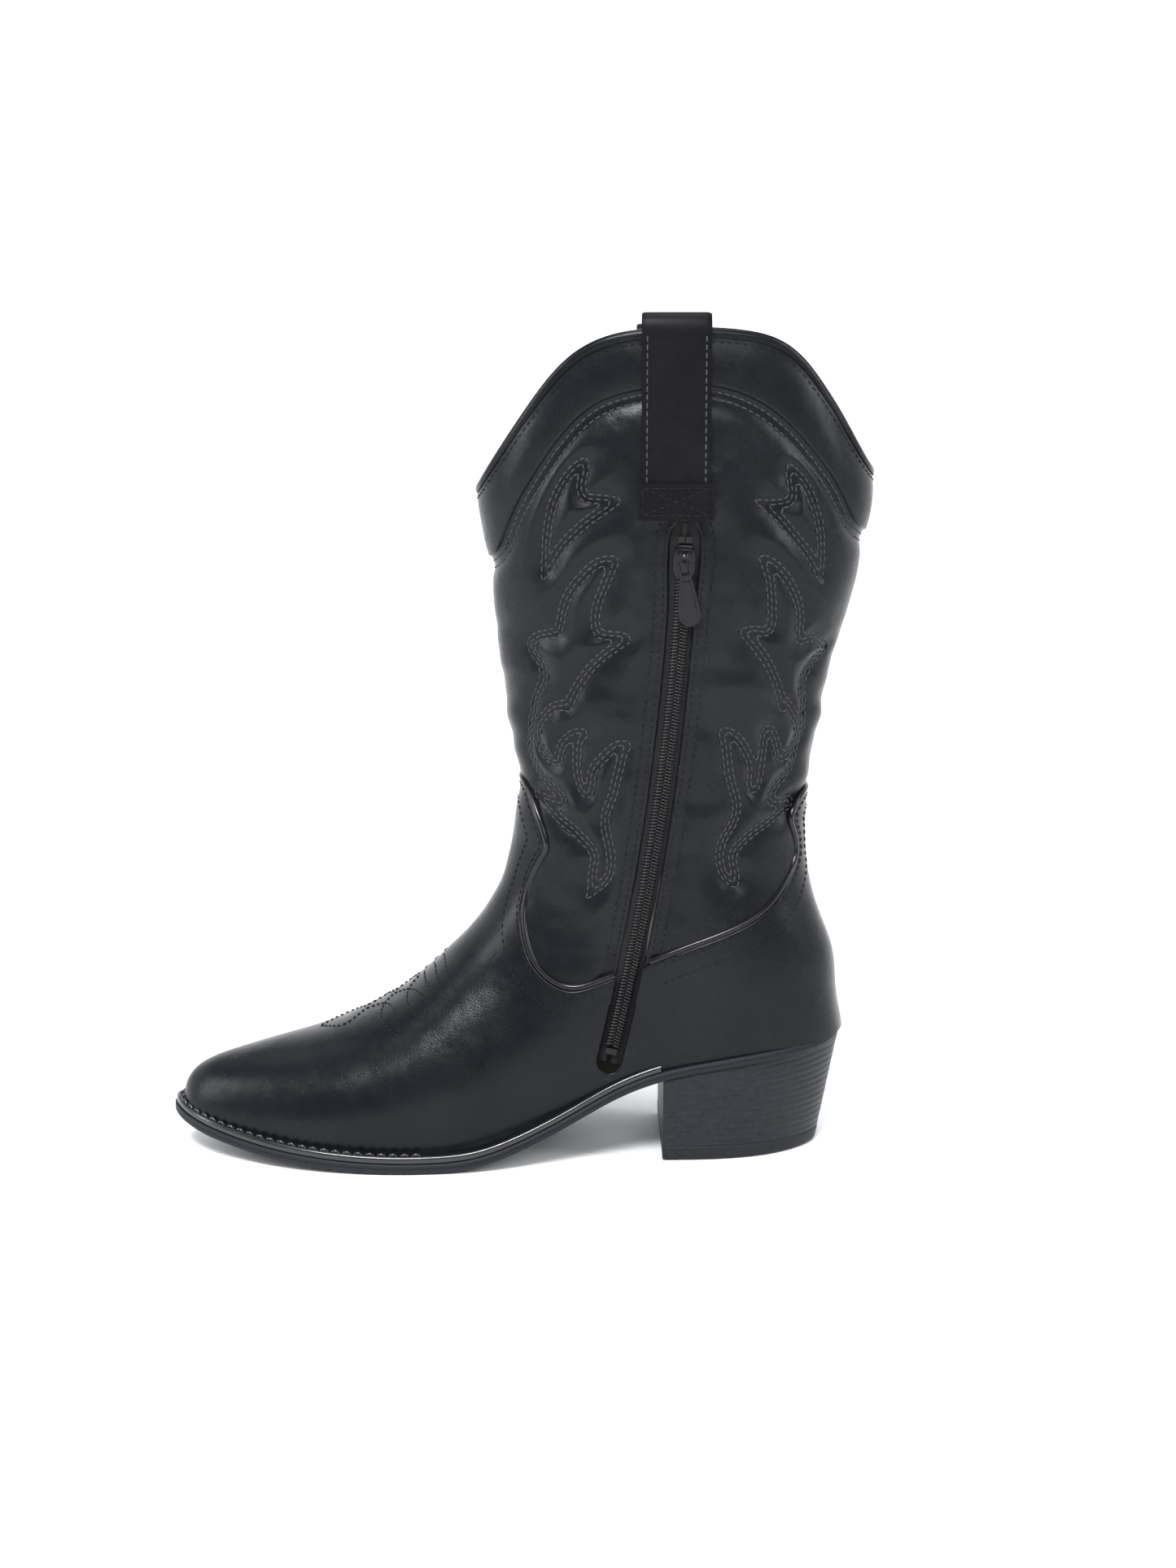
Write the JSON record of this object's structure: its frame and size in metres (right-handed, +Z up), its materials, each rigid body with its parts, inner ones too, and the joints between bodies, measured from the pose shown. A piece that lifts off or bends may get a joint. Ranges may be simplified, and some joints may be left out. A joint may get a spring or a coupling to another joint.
{
  "type": "cowboy boot",
  "caption": "Calf-high western boot for the right foot with a pointed toe, quilted and stitched shaft, scalloped collar, pull straps, working side zip and stacked heel.",
  "frame": {"origin": "on the ground, at the middle of the boot's length and width", "axes": "+Z up, -X to the toe, +X to the heel, -Y to the inner side that carries the zip"},
  "size_m": [0.2835, 0.096, 0.3336],
  "materials": {
    "upper_leather": "semi-gloss black faux leather, fine grain",
    "welt_leather": "glossy black",
    "sole_rubber": "matte charcoal",
    "stacked_heel": "satin dark slate grey, fine stacked lines",
    "thread": "satin",
    "steel": "plain",
    "insole_board": "matte",
    "lining": "matte",
    "padding": "matte",
    "stiffener": "matte",
    "patent_piping": "high gloss black",
    "zip_tape": "matte woven",
    "zip_coil": "satin black",
    "zip_metal": "gloss black"
  },
  "bodies": {
    "boot": {"outsole": "sole_rubber", "welt": "welt_leather", "welt_thread": "thread", "heel_block": "stacked_heel", "heel_top_lift": "sole_rubber", "heel_screw": "steel", "heel_nail_1": "steel", "heel_nail_2": "steel", "heel_nail_3": "steel", "heel_nail_4": "steel", "shank": "steel", "insole_board": "insole_board", "bottom_filler": "insole_board", "sock_liner": "lining", "vamp": "upper_leather", "counter": "upper_leather", "toe_puff": "stiffener", "counter_stiffener": "stiffener", "vamp_lining": "lining", "counter_lining": "lining", "vamp_piping": "patent_piping", "counter_piping": "patent_piping", "shaft_front": "upper_leather", "shaft_back": "upper_leather", "collar_front": "upper_leather", "collar_back": "upper_leather", "padding_front": "padding", "padding_back": "padding", "lining_front": "lining", "lining_back": "lining", "collar_binding": "patent_piping", "lateral_side_strip": "upper_leather", "zip_tape_front": "zip_tape", "zip_tape_back": "zip_tape", "zip_coil_front": "zip_coil", "zip_coil_back": "zip_coil", "zip_top_stop_front": "zip_coil", "zip_top_stop_back": "zip_coil", "zip_bottom_stop": "zip_coil", "zip_guard": "zip_tape", "pull_strap_medial": "upper_leather", "pull_strap_lateral": "upper_leather", "strap_patch_medial": "upper_leather", "strap_patch_lateral": "upper_leather"},
    "slider": {"zip_slider": "zip_metal"},
    "puller": {"zip_puller": "zip_metal"}
  },
  "joints": [
    {"name": "zip_travel", "type": "hinge", "parent": "boot", "child": "slider", "pos_m": [-0.67905, -0.47298, 0.22475], "axis": [-0.5002, 0.8588, 0.1106], "range_deg": [0, 12.3], "deforming": ["zip_coil_front", "zip_coil_back"]},
    {"name": "puller_swing", "type": "hinge", "parent": "slider", "child": "puller", "pos_m": [0.06532, -0.0448, 0.24005], "axis": [-0.9929, 0.024, -0.1162], "range_deg": [0, 145]}
  ]
}
